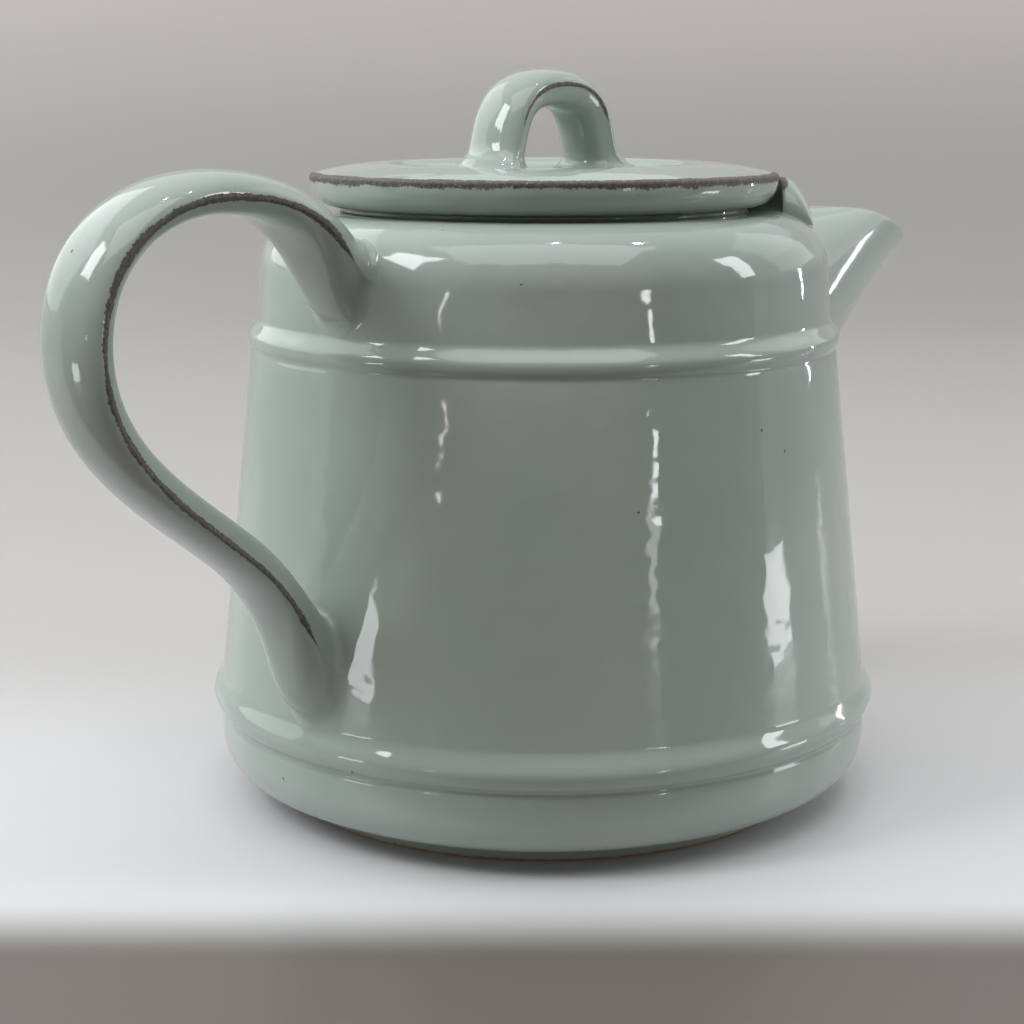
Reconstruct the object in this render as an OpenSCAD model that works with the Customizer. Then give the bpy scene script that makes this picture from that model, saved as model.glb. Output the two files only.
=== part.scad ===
// Lidded stoneware teapot: tapered pot with two raised bands, strap handle, beak spout,
// and a loose flat lid with a strap loop knob.
// Frame: origin at the centre of the foot on the pot's axis, +Z up, spout towards +X, handle towards -X.

/* [Pot] */
// Diameter over the lower raised band, the widest place of the pot
band_d = 150; // [148:0.5:152]
// Height of the lower raised band's crest above the table
lower_band_z = 23; // [22:0.5:25]
// Height of the upper raised band's crest above the table
upper_band_z = 101.5; // [100:0.5:103]
// Thickness of the fired wall
wall = 4.5; // [4:0.1:5]
// Diameter of the mouth
mouth_d = 80; // [76:0.5:81]
// Outer diameter of the unglazed foot ring
foot_d = 120; // [112:1:122]
// Height of the foot ring
foot_h = 4; // [3:0.5:5]

/* [Lid] */
// Diameter of the lid over its worn top edge
lid_d = 103; // [101:0.5:104]
// Depth of the rounded rim of the lid
lid_rim_h = 7; // [6:0.5:8]
// Depth that the locating collar reaches into the mouth
collar_depth = 12.6; // [10:0.2:14]
// Radial gap between the collar and the mouth
collar_gap = 0.8; // [0.5:0.1:1.5]
// Diameter of the steam hole in the lid
steam_hole_d = 3; // [2:0.5:4]

/* [Loop knob] */
// Height of the loop's middle line above the rim of the lid
knob_h = 19; // [16:0.5:22]
// Half of the loop's span, on its middle line at the lid
knob_half_span = 18.3; // [16:0.1:19]
// Width of the knob's strap
knob_w = 14; // [12:0.5:17]

/* [Handle] */
// Distance from the pot's axis to the middle line of the grip
grip_r = 127; // [124:0.5:129]
// Height of the middle line at the top of the handle
handle_top_z = 135.7; // [134:0.1:137]
// Width of the strap at its upper end, before it narrows into the shoulder
strap_high_w = 21; // [18:0.5:22]
// Width of the strap at its lower end, before it narrows into the pot's side
strap_low_w = 14.5; // [13:0.5:18]

/* [Spout] */
// Distance from the pot's axis to the pouring lip
lip_r = 147; // [144:0.5:149]
// Height of the pouring lip
lip_z = 113.3; // [112:0.1:115]
// Half of the spout's width at the pot
spout_root_half_w = 20; // [18:0.5:22]
// Half of the spout's width at its open end
spout_end_half_w = 10.7; // [9:0.1:12]
// Thickness of the spout's wall
spout_wall = 4; // [3:0.5:4]
// Diameter of each strainer hole behind the spout
strainer_hole_d = 4.5; // [3.5:0.5:5]

/* [Hidden] */

glaze_colour = [0.60, 0.66, 0.63];
lit_glaze_colour = [0.64, 0.70, 0.67];
clay_colour = [0.72, 0.60, 0.50];

band_r = band_d / 2;
mouth_r = mouth_d / 2;
foot_r = foot_d / 2;
lid_r = lid_d / 2;

// Smooth step from 0 to 1 while t goes from 0 to 1
function ease(t) = let (c = min(max(t, 0), 1)) c * c * (3 - 2 * c);
// Point at t on a cubic curve with two end points and two pull points
function cubic(p, t) = pow(1 - t, 3) * p[0] + 3 * t * pow(1 - t, 2) * p[1]
                     + 3 * t * t * (1 - t) * p[2] + pow(t, 3) * p[3];
// Direction of that curve at t
function cubic_way(p, t) = pow(1 - t, 2) * (p[1] - p[0]) + 2 * t * (1 - t) * (p[2] - p[1])
                         + t * t * (p[3] - p[2]);
function unit(v) = v / norm(v);
function arc(centre, r, from, to, steps) =
    [for (i = [0 : steps]) centre + r * [cos(from + (to - from) * i / steps),
                                         sin(from + (to - from) * i / steps)]];
function reversed(list) = [for (i = [len(list) - 1 : -1 : 0]) list[i]];

/* Pot wall: radius at each height of the straight, tapered stretch */
heel_r = 9;                       // rounding from the underside into the wall
heel_wall_r = band_r - 1.6;       // wall just below the lower band
taper_r0 = band_r - 2;            // wall just above the lower band
taper = 0.111;                    // inward lean above the lower band, in mm per mm
band_half_h = 5.2;                // half of the lower band's height
band_rise = 1.9;                  // how far the lower band stands out
upper_half_h = 4;                 // half of the upper band's height
upper_rise = 0.9;                 // how far the upper band stands out
waist_step = 0.8;                 // wall above the upper band sits back by this
shoulder_r = 12.9;                // rounding of the shoulder
shoulder_c = [50, 116.5];         // centre of that rounding
shoulder_z = shoulder_c[1] + shoulder_r;
heel_top = foot_h + 0.4 + heel_r;

function bump(z, z0, half) = abs(z - z0) < half ? 0.5 + 0.5 * cos(180 * (z - z0) / half) : 0;
function lean_r(z) = z < lower_band_z
    ? heel_wall_r
    : taper_r0 - taper * max(z - lower_band_z - 5, 0);
function neck_r(z) = let (t = ease((z - upper_band_z) / upper_half_h))
    (1 - t) * lean_r(z) + t * (lean_r(upper_band_z + upper_half_h) - waist_step);
function wall_r(z) = z > upper_band_z + upper_half_h
    ? neck_top_r(z)
    : neck_r(z) + band_rise * bump(z, lower_band_z, band_half_h)
      + upper_rise * bump(z, upper_band_z, upper_half_h);
neck_z0 = upper_band_z + upper_half_h;
neck_r0 = lean_r(neck_z0) - waist_step;
shoulder_side_r = shoulder_c[0] + shoulder_r;
function neck_top_r(z) = neck_r0
    + (shoulder_side_r - neck_r0) * ease((z - neck_z0) / (shoulder_c[1] - neck_z0));

lower_band_zs = [for (i = [0 : 10]) lower_band_z + band_half_h * (i / 5 - 1)];
upper_band_zs = [for (i = [0 : 8]) upper_band_z + upper_half_h * (i / 4 - 1)];
neck_zs = [for (i = [1 : 4]) neck_z0 + (shoulder_c[1] - neck_z0) * i / 5];

floor_z = foot_h + wall + 0.5;
heel_c = [heel_wall_r - heel_r, heel_top];
// Place on the outer heel rounding where the wall stands on the floor piece
joint_angle = asin((floor_z - heel_top) / heel_r);
floor_line = concat(
    [[0, foot_h], [heel_c[0] - 4, foot_h]],
    arc(heel_c, heel_r, -90, joint_angle, 6),
    [[0, floor_z]]);

outer_line = concat(
    arc(heel_c, heel_r, joint_angle, 0, 5),
    [for (z = lower_band_zs) [wall_r(z), z]],
    [for (z = upper_band_zs) [wall_r(z), z]],
    [for (z = neck_zs) [wall_r(z), z]],
    arc(shoulder_c, shoulder_r, 0, 90, 10),
    [[mouth_r, shoulder_z]]);

inner_heel_r = 7;
inner_side_r = heel_wall_r - wall;
inner_line = concat(
    arc([inner_side_r - inner_heel_r, floor_z + inner_heel_r], inner_heel_r, -90, 0, 6),
    [[lean_r(lower_band_z + 6) - wall, lower_band_z + 6],
     [lean_r(upper_band_z) - wall, upper_band_z - 4]],
    arc(shoulder_c, shoulder_r - wall, 0, 90, 7),
    [[mouth_r, shoulder_z - wall]]);

strainer_rows = 5;
strainer_pitch = 8;
strainer_z0 = 74;

module pot_wall() {
    color(glaze_colour)
    difference() {
        rotate_extrude($fn = 180)
            polygon(concat(outer_line, reversed(inner_line)));
        strainer_holes();
    }
}

// Floor disc with the lower part of the rounded heel, level with the inside of the floor
module pot_floor() {
    color(glaze_colour)
    rotate_extrude($fn = 180)
        polygon(floor_line);
}

// Rows of three and four holes in turn, drilled from the spout's side into the pot
module strainer_holes() {
    for (row = [0 : strainer_rows - 1]) {
        count = 3 + row % 2;
        for (i = [0 : count - 1])
            translate([40, (i - (count - 1) / 2) * strainer_pitch, strainer_z0 + row * strainer_pitch])
                rotate([0, 90, 0])
                    cylinder(d = strainer_hole_d, h = 50, $fn = 32);
    }
}

foot_wall = 6;
foot_round = 1;
module foot_ring() {
    color(clay_colour)
    rotate_extrude($fn = 120)
        polygon(concat(
            [[foot_r - foot_wall, foot_h], [foot_r - foot_wall, foot_round],
             [foot_r - foot_wall + foot_round, 0]],
            arc([foot_r - foot_round, foot_round], foot_round, -90, 0, 4),
            [[foot_r, foot_h]]));
}

seat_h = 1.2;
seat_r0 = mouth_r + 1;
seat_r1 = mouth_r + 5;
seat_z = shoulder_z + seat_h;
module mouth_rim() {
    color(clay_colour)
    translate([0, 0, shoulder_z])
        difference() {
            cylinder(r = seat_r1, h = seat_h, $fn = 120);
            translate([0, 0, -1])
                cylinder(r = seat_r0, h = seat_h + 2, $fn = 120);
        }
}

/* Swept straps: half_out and half_in are the strap's depth to the outside and the inside of
   its edge line, half_w is half of its width; the section is a rounded outer half that meets
   a flatter inner half at two side edges */
strap_sides = 20;
function strap_ring(at, way, half_w, half_out, half_in) =
    let (out = [-way[1], way[0]])
    [for (k = [0 : strap_sides - 1])
        let (a = 360 * k / strap_sides,
             depth = sin(a) >= 0 ? half_out * sin(a) : half_in * sin(a),
             side = half_w * sign(cos(a)) * pow(abs(cos(a)), sin(a) >= 0 ? 0.9 : 0.75))
        [at[0] + out[0] * depth, side, at[1] + out[1] * depth]];

// Side faces between rings of the same number of points, and a cap on each end
function tube_faces(rings, sides) = concat(
    [for (i = [0 : rings - 2], k = [0 : sides - 1])
        let (a = i * sides + k, b = i * sides + (k + 1) % sides) [a, a + sides, b + sides, b]],
    [[for (k = [0 : sides - 1]) k]],
    [[for (k = [sides - 1 : -1 : 0]) (rings - 1) * sides + k]]);

module swept_strap(rings) {
    points = [for (ring = rings) each ring];
    polyhedron(points = points, faces = tube_faces(len(rings), strap_sides), convexity = 6);
}

/* Handle: four cubic stretches, from the shoulder over the top, round the grip and down */
handle_high_root = [50, 115];
handle_top = [92.7, handle_top_z];
handle_far = [grip_r, 109.5];
handle_turn = [93.3, 66.4];
handle_low_root = [65.5, 37.3];
handle_line = [
    [handle_high_root, [69, 111.5], [63, handle_top_z - 2.6], handle_top],
    [handle_top, [111.7, handle_top_z + 2], [grip_r, 127.4], handle_far],
    [handle_far, [grip_r, 89.6], [108.5, 78.6], handle_turn],
    [handle_turn, [76.3, 52.9], [77.2, 37.6], handle_low_root]];
stretch_rings = 12;
handle_count = len(handle_line) * stretch_rings;

// The strap's half width and its depth to each side of the edge line, each at the upper and at
// the lower end, and what they grow or narrow to where the strap meets the pot
strap_half_w = [strap_high_w, strap_low_w] / 2;
strap_out = [6, 2];
strap_in = [2.4, 6.8];
root_half_w = [7.5, 8];
root_half_h = [9.4, 10.7];

function between(ends, s) = ends[0] + (ends[1] - ends[0]) * s;
// How much of the change towards each root is there at a place from 0 to 1 along the strap
function high_flare(s) = pow(1 - ease(s / 0.27), 2);
function low_flare(s) = pow(1 - ease((1 - s) / 0.25), 2);
function flare(s, ends, roots) = between(ends, s) + (roots[0] - between(ends, s)) * high_flare(s)
                               + (roots[1] - between(ends, s)) * low_flare(s);
function handle_ring(i) =
    let (s = i / handle_count,
         piece = min(floor(i / stretch_rings), len(handle_line) - 1),
         t = i / stretch_rings - piece,
         at = cubic(handle_line[piece], t),
         way = unit(cubic_way(handle_line[piece], t)))
    strap_ring(at, way, flare(s, strap_half_w, root_half_w),
               flare(s, strap_out, root_half_h), flare(s, strap_in, root_half_h));

module handle() {
    color(lit_glaze_colour)
    difference() {
        mirror([1, 0, 0])
            swept_strap([for (i = [0 : handle_count]) handle_ring(i)]);
        pot_core();
    }
}

// Everything deeper in the pot than the luted roots reach into its wall
luted_depth = 2.5;
core_z0 = 20;
core_taper_z = upper_band_z - 2;
core_rise = 6;
core_round = 11;
core_shoulder_z = shoulder_c[1] + core_rise;
core_shoulder_r = shoulder_c[0] + core_round - luted_depth;
module pot_core() {
    rotate_extrude($fn = 90)
        polygon([[0, core_z0], [taper_r0 - luted_depth, core_z0],
                 [lean_r(core_taper_z) - luted_depth, core_taper_z],
                 [shoulder_side_r - luted_depth, shoulder_c[1]],
                 [core_shoulder_r, core_shoulder_z], [0, core_shoulder_z]]);
}

/* Spout: rings of points between a top line and a keel line that run out to the open end */
spout_top_line = [[59.5, 119], [76.5, 126.3], [89.5, 127.3], [104.3, 126.2]];
spout_keel_line = [[67.5, 57], [92, 69], [118.5, 105.7], [lip_r, lip_z]];
spout_rings = 22;
spout_sides = 28;
spout_mid_half_w = 17;
keel_sharpness = 0.05;
rim_arch = 3.5;                   // how far the sides of the open rim rise above its two ends
function spout_half_w(s) = spout_root_half_w * pow(1 - s, 2)
    + 2 * spout_mid_half_w * s * (1 - s) + spout_end_half_w * s * s;
function spout_ring(s, inset) =
    let (top = cubic(spout_top_line, s),
         keel = cubic(spout_keel_line, s),
         middle = (top + keel) / 2,
         up = unit(top - keel),
         ahead = [up[1], -up[0]],
         half_h = norm(top - keel) / 2 - inset,
         half_w = spout_half_w(s) - inset)
    [for (k = [0 : spout_sides - 1])
        let (a = 360 * k / spout_sides,
             y = half_w * sin(a) * (1 + keel_sharpness * cos(a)),
             p = middle + up * half_h * cos(a) + ahead * rim_arch * pow(s, 4) * pow(sin(a), 2),
             sag = p[0] - sqrt(max(p[0] * p[0] - y * y, 0)))
        [p[0] - sag * pow(1 - s, 3), y, p[1]]];

// Outer skin, inner skin, and a flat ring of faces at each end
function shell_faces(rings, sides) =
    let (skin = rings * sides)
    concat(
        [for (i = [0 : rings - 2], k = [0 : sides - 1])
            let (a = i * sides + k, b = i * sides + (k + 1) % sides) [a, b, b + sides, a + sides]],
        [for (i = [0 : rings - 2], k = [0 : sides - 1])
            let (a = skin + i * sides + k, b = skin + i * sides + (k + 1) % sides)
            [a, a + sides, b + sides, b]],
        [for (k = [0 : sides - 1]) let (n = (k + 1) % sides) [k, k + skin, n + skin, n]],
        [for (k = [0 : sides - 1])
            let (e = (rings - 1) * sides, n = (k + 1) % sides)
            [e + k, e + n, e + n + skin, e + k + skin]]);

module spout() {
    outer = [for (i = [0 : spout_rings]) each spout_ring(i / spout_rings, 0)];
    inner = [for (i = [0 : spout_rings]) each spout_ring(i / spout_rings, spout_wall)];
    color(lit_glaze_colour)
    polyhedron(points = concat(outer, inner),
               faces = shell_faces(spout_rings + 1, spout_sides), convexity = 8);
}

/* Guard: a low crescent on the shoulder that stops the lid sliding off while pouring */
guard_r0 = lid_r + 1.1;
guard_r1 = 59.3;
guard_top_z = 136.4;
guard_rise = 10.4;
guard_root_z = shoulder_z - 1.8;
guard_low_z = 123.6;
guard_span = 106;
module spout_guard() {
    color(lit_glaze_colour)
    rotate([0, 0, -guard_span / 2])
        rotate_extrude(angle = guard_span, $fn = 180)
            polygon(concat(
                [[guard_r0, guard_root_z], [guard_r1 - 0.3, guard_low_z],
                 [guard_r1, guard_top_z - guard_rise]],
                [for (a = [10 : 10 : 80])
                    [guard_r0 + 0.8 + (guard_r1 - guard_r0 - 0.8) * cos(a),
                     guard_top_z - guard_rise + guard_rise * sin(a)]],
                [[guard_r0 + 0.8, guard_top_z], [guard_r0, guard_top_z - 0.6]]));
}

/* Lid: a plate with a rounded rim below a worn edge, domed a little towards a flat middle */
rim_edge_z = seat_z + lid_rim_h;
rim_foot_r = 46;
crest_r = 36;
crest_z = rim_edge_z + 2.2;
middle_r = 33;
middle_z = rim_edge_z + 1;
plate_under_r = 34;
plate_under_z = seat_z + 3;
lid_line = concat(
    [[0, plate_under_z], [plate_under_r, plate_under_z], [plate_under_r, seat_z]],
    [for (a = [0 : 12 : 84])
        [rim_foot_r + (lid_r - rim_foot_r) * sin(a), seat_z + 5.4 - 5.4 * cos(a)]],
    [[lid_r + 0.1, seat_z + 5.4], [lid_r, rim_edge_z - 0.2], [lid_r - 0.3, rim_edge_z]],
    [for (t = [0.2 : 0.2 : 1])
        [lid_r + (crest_r - lid_r) * t, rim_edge_z + (crest_z - rim_edge_z) * sin(90 * t)]],
    [[crest_r - 1.2, crest_z - 0.2], [middle_r + 0.4, middle_z + 0.2], [middle_r - 0.8, middle_z],
     [0, middle_z]]);
steam_hole_x = 5;
module lid() {
    color(glaze_colour)
    difference() {
        rotate_extrude($fn = 180)
            polygon(lid_line);
        translate([steam_hole_x, 0, seat_z])
            cylinder(d = steam_hole_d, h = 20, $fn = 32);
    }
}

collar_r1 = mouth_r - collar_gap;
collar_wall = 3.7;
collar_z0 = seat_z - collar_depth;
module lid_collar() {
    color(glaze_colour)
    difference() {
        translate([0, 0, collar_z0])
            cylinder(r = collar_r1, h = collar_depth, $fn = 120);
        translate([0, 0, collar_z0 - 1])
            cylinder(r = collar_r1 - collar_wall, h = collar_depth + 2, $fn = 120);
    }
}

/* Loop knob: one arch of strap, both feet set into the lid's flat middle */
knob_top_z = rim_edge_z + knob_h;
knob_foot_z = middle_z - 1;
knob_lean = 5;                    // how far the legs lean in as they leave the lid
knob_line = [
    [[knob_half_span, knob_foot_z], [knob_half_span - knob_lean, knob_foot_z + 6],
     [knob_half_span - 1.2, knob_top_z], [0, knob_top_z]],
    [[0, knob_top_z], [1.2 - knob_half_span, knob_top_z],
     [knob_lean - knob_half_span, knob_foot_z + 6], [-knob_half_span, knob_foot_z]]];
knob_stretch_rings = 12;
knob_count = 2 * knob_stretch_rings;
knob_out = 3.4;
knob_in = 4.9;
knob_foot_flare = 2;
function knob_flare(s) = pow(1 - ease(min(s, 1 - s) / 0.2), 2);
function knob_ring(i) =
    let (s = i / knob_count,
         piece = min(floor(i / knob_stretch_rings), 1),
         t = i / knob_stretch_rings - piece,
         extra = knob_foot_flare * knob_flare(s),
         way = unit(cubic_way(knob_line[piece], t)))
    strap_ring(cubic(knob_line[piece], t), -way, knob_w / 2 + extra, knob_out + extra, knob_in + extra);

module lid_knob() {
    color(lit_glaze_colour)
    difference() {
        swept_strap(reversed([for (i = [0 : knob_count]) knob_ring(i)]));
        translate([-60, -60, plate_under_z - 20])
            cube([120, 120, 20 + 1.6]);
    }
}

pot_wall();
pot_floor();
foot_ring();
mouth_rim();
handle();
spout();
spout_guard();
lid();
lid_collar();
lid_knob();
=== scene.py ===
"""Looks of a lidded sage-green teapot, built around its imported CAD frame. Lengths are in
millimetres until a mesh is made, and metres in every Blender object."""

import math

import bmesh
import bpy
import numpy as np
from mathutils import Euler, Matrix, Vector, noise


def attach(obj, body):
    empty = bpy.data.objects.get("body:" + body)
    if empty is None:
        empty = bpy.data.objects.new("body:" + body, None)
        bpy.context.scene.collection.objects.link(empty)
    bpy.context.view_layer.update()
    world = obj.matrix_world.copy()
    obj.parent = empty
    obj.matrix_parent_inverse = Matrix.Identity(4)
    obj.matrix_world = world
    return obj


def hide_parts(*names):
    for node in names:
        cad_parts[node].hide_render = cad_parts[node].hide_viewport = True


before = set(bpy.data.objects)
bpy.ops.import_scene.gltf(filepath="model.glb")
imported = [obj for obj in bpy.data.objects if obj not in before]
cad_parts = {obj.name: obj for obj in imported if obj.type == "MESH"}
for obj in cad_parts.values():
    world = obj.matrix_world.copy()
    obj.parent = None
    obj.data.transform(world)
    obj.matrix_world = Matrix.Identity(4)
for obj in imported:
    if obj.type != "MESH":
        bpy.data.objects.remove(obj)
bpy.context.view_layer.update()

MM = 0.001
FAR = 50.0  # distance from an arris, in mm, on a surface that has none


# ---------------------------------------------------------------- numbers shared with the CAD
def ease(t):
    """0 to 1 with a level start and end."""
    t = np.clip(t, 0.0, 1.0)
    return t * t * (3 - 2 * t)


def cubic(p, t):
    """Points of a cubic curve with the four control points p."""
    p = np.asarray(p, float)
    t = np.asarray(t, float)[..., None]
    return ((1 - t) ** 3 * p[0] + 3 * t * (1 - t) ** 2 * p[1]
            + 3 * t * t * (1 - t) * p[2] + t ** 3 * p[3])


def cubic_way(p, t):
    """Unit direction along that curve."""
    p = np.asarray(p, float)
    t = np.asarray(t, float)[..., None]
    d = ((1 - t) ** 2 * (p[1] - p[0]) + 2 * t * (1 - t) * (p[2] - p[1]) + t * t * (p[3] - p[2]))
    return d / np.linalg.norm(d, axis=-1, keepdims=True)


# Each raised band's middle height, half its width, and how far it stands out. The upper one is
# 1.5 mm above the CAD's.
LOWER_Z, LOWER_HALF, LOWER_RISE = 23.0, 5.2, 1.9
UPPER_Z, UPPER_HALF, UPPER_RISE = 103.0, 4.0, 0.9
HEEL_R, HEEL_WALL_R = 9.0, 73.4
FOOT_H = 4.0
HEEL_TOP = FOOT_H + 0.4 + HEEL_R
TAPER_R0, TAPER = 73.0, 0.111
WAIST_STEP = 0.8
SHOULDER_C, SHOULDER_R = (50.0, 116.5), 12.9
SHOULDER_Z = SHOULDER_C[1] + SHOULDER_R
NECK_Z0 = UPPER_Z + UPPER_HALF
WALL = 4.5
FLOOR_Z = FOOT_H + WALL + 0.5
FOOT_IN, FOOT_MID, FOOT_OUT = 54.0, 57.0, 60.0
MOUTH_R = 40.0
SEAT_IN, SEAT_MID, SEAT_OUT = 41.0, 43.0, 45.0
COLLAR_IN, COLLAR_MID, COLLAR_OUT, COLLAR_Z = 35.5, 37.0, 39.2, 118.0
BURIED = 0.3  # how far the foot ring and the seat reach into the pot
SPOUT_WALL = 3.8  # 0.2 mm thinner than the CAD's


def bump(z, z0, half):
    return np.where(abs(z - z0) < half, 0.5 + 0.5 * np.cos(np.pi * (z - z0) / half), 0.0)


def lean_r(z):
    above = TAPER_R0 - TAPER * np.maximum(z - LOWER_Z - 5, 0)
    return HEEL_WALL_R + (above - HEEL_WALL_R) * ease((z - LOWER_Z + 3) / 6)


NECK_R0 = float(lean_r(NECK_Z0)) - WAIST_STEP


# The line that each band's lower edge makes with the wall: height, depth and width in mm
CREASES = ((LOWER_Z - 3.9, 0.55, 0.8), (UPPER_Z - 2.7, 0.35, 0.8))


def wall_r(z):
    """Radius of the pot's outer face at each height, from the heel to the top of the shoulder."""
    z = np.asarray(z, float)
    t = ease((z - UPPER_Z) / UPPER_HALF)
    low = (1 - t) * lean_r(z) + t * NECK_R0
    low = low + LOWER_RISE * bump(z, LOWER_Z, LOWER_HALF) + UPPER_RISE * bump(z, UPPER_Z, UPPER_HALF)
    for crease_z, depth, width in CREASES:
        low = low - depth * np.exp(-((z - crease_z) / width) ** 2)
    side = SHOULDER_C[0] + SHOULDER_R
    rise = np.clip((z - NECK_Z0) / (SHOULDER_C[1] - NECK_Z0), 0, 1)
    neck = NECK_R0 + (side - NECK_R0) * (0.8 * rise + 0.2 * ease(rise))
    over = np.clip(z - SHOULDER_C[1], 0, SHOULDER_R - 1e-6)
    top = SHOULDER_C[0] + np.sqrt(SHOULDER_R ** 2 - over ** 2)
    out = np.where(z > NECK_Z0, neck, low)
    out = np.where(z > SHOULDER_C[1], top, out)
    under = np.clip(HEEL_TOP - z, 0, HEEL_R - 1e-6)
    heel = HEEL_WALL_R - HEEL_R + np.sqrt(HEEL_R ** 2 - under ** 2)
    return np.where(z < HEEL_TOP, heel, out)


def wall_gap(p):
    """How far outside the pot's face each point is, along the radius."""
    return np.hypot(p[..., 0], p[..., 1]) - wall_r(p[..., 2])


def wall_normal(p):
    h = 0.05
    slope = (wall_r(p[..., 2] + h) - wall_r(p[..., 2] - h)) / (2 * h)
    r = np.hypot(p[..., 0], p[..., 1])
    n = np.stack([p[..., 0] / r, p[..., 1] / r, -slope], -1)
    return n / np.linalg.norm(n, axis=-1, keepdims=True)


LID_SEAT_Z, LID_R, RIM_EDGE_Z = 130.6, 51.5, 137.6
# The lid rises to a crest and steps down to a level middle
CREST_R, CREST_Z, MIDDLE_R, MIDDLE_Z = 36.0, 139.8, 33.0, 138.6


# ---------------------------------------------------------------- mesh making
def make_object(name, verts, faces, sharp_deg=None):
    """A smooth-shaded mesh object from points in mm, with its normals facing out."""
    mesh = bpy.data.meshes.new(name)
    mesh.from_pydata((np.asarray(verts, float) * MM).tolist(), [], faces)
    bm = bmesh.new()
    bm.from_mesh(mesh)
    bmesh.ops.recalc_face_normals(bm, faces=bm.faces)
    for f in bm.faces:
        f.smooth = True
    if sharp_deg is not None:
        limit = math.radians(sharp_deg)
        for e in bm.edges:
            if len(e.link_faces) == 2 and e.calc_face_angle(0.0) > limit:
                e.smooth = False
    bm.to_mesh(mesh)
    bm.free()
    obj = bpy.data.objects.new(name, mesh)
    bpy.context.scene.collection.objects.link(obj)
    return obj


def set_attribute(obj, name, values):
    a = obj.data.attributes.new(name, "FLOAT", "POINT")
    a.data.foreach_set("value", np.asarray(values, np.float32).ravel())


def revolve(name, profile, steps, closed=False, sharp_deg=None, wobble=None):
    """Turns a line of (r, z) points round the axis. A line that isn't closed starts and ends
    on the axis. wobble(points) returns points moved a little."""
    profile = np.asarray(profile, float)
    ang = np.arange(steps) * 2 * np.pi / steps
    inner = profile if closed else profile[1:-1]
    grid = np.stack([inner[:, None, 0] * np.cos(ang), inner[:, None, 0] * np.sin(ang),
                     np.repeat(inner[:, None, 1], steps, 1)], -1)
    if wobble is not None:
        grid = wobble(grid)
    n = len(inner)
    verts = grid.reshape(-1, 3).tolist()
    faces = []
    for i in range(n if closed else n - 1):
        a, b = i * steps, ((i + 1) % n) * steps
        for k in range(steps):
            m = (k + 1) % steps
            faces.append((a + k, a + m, b + m, b + k))
    if not closed:
        low, high = len(verts), len(verts) + 1
        verts += [(0, 0, profile[0, 1]), (0, 0, profile[-1, 1])]
        last = (n - 1) * steps
        for k in range(steps):
            m = (k + 1) % steps
            faces += [(low, m, k), (high, last + k, last + m)]
    return make_object(name, verts, faces, sharp_deg)


def tube(name, grid, loop=False, sharp_rings=()):
    """A skin over rings of points: grid[ring, around]. It is capped at both ends unless it runs
    back into itself, and rings in sharp_rings keep a hard edge."""
    rings, sides = grid.shape[:2]
    verts = grid.reshape(-1, 3).tolist()
    faces = []
    for i in range(rings if loop else rings - 1):
        a, b = i * sides, ((i + 1) % rings) * sides
        for k in range(sides):
            m = (k + 1) % sides
            faces.append((a + k, a + m, b + m, b + k))
    for ring in () if loop else (0, rings - 1):
        c = len(verts)
        verts.append(grid[ring].mean(0).tolist())
        for k in range(sides):
            faces.append((c, ring * sides + k, ring * sides + (k + 1) % sides))
    obj = make_object(name, verts, faces)
    bm = bmesh.new()
    bm.from_mesh(obj.data)
    bm.verts.ensure_lookup_table()
    hard = {r % rings for r in sharp_rings}
    for e in bm.edges:
        a, b = (v.index // sides for v in e.verts)
        if a == b and a in hard:
            e.smooth = False
    bm.to_mesh(obj.data)
    bm.free()
    return obj


def arc(centre, r, start, end, n):
    a = np.radians(np.linspace(start, end, n))
    return np.stack([centre[0] + r * np.cos(a), centre[1] + r * np.sin(a)], -1)


def round_corner(p0, corner, p1, r, n=6):
    """Points of a rounded corner between the directions to p0 and to p1."""
    p0, corner, p1 = (np.asarray(p, float) for p in (p0, corner, p1))
    a = (p0 - corner) / np.linalg.norm(p0 - corner)
    b = (p1 - corner) / np.linalg.norm(p1 - corner)
    start, end = corner + a * r, corner + b * r
    t = np.linspace(0, 1, n)[:, None]
    return (1 - t) ** 2 * start + 2 * t * (1 - t) * corner + t * t * end


def line(*parts):
    """Joins lists of points and drops repeats."""
    pts = np.concatenate([np.atleast_2d(np.asarray(p, float)) for p in parts])
    keep = np.r_[True, np.linalg.norm(np.diff(pts, axis=0), axis=1) > 1e-4]
    return pts[keep]


def hand_made(seed, amount, across, up):
    """Slight unevenness of a cast and fettled wall: moves points along the radius."""
    def move(grid):
        flat = grid.reshape(-1, 3)
        out = np.empty(len(flat))
        for i, p in enumerate(flat):
            q = Vector((p[0] / across, p[1] / across, p[2] / up + seed))
            out[i] = noise.noise(q) + 0.35 * noise.noise(q * 2.3)
        r = np.hypot(flat[:, 0], flat[:, 1])
        k = 1 + amount * out / np.maximum(r, 1.0)
        return (flat * np.stack([k, k, np.ones_like(k)], -1)).reshape(grid.shape)
    return move


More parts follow.
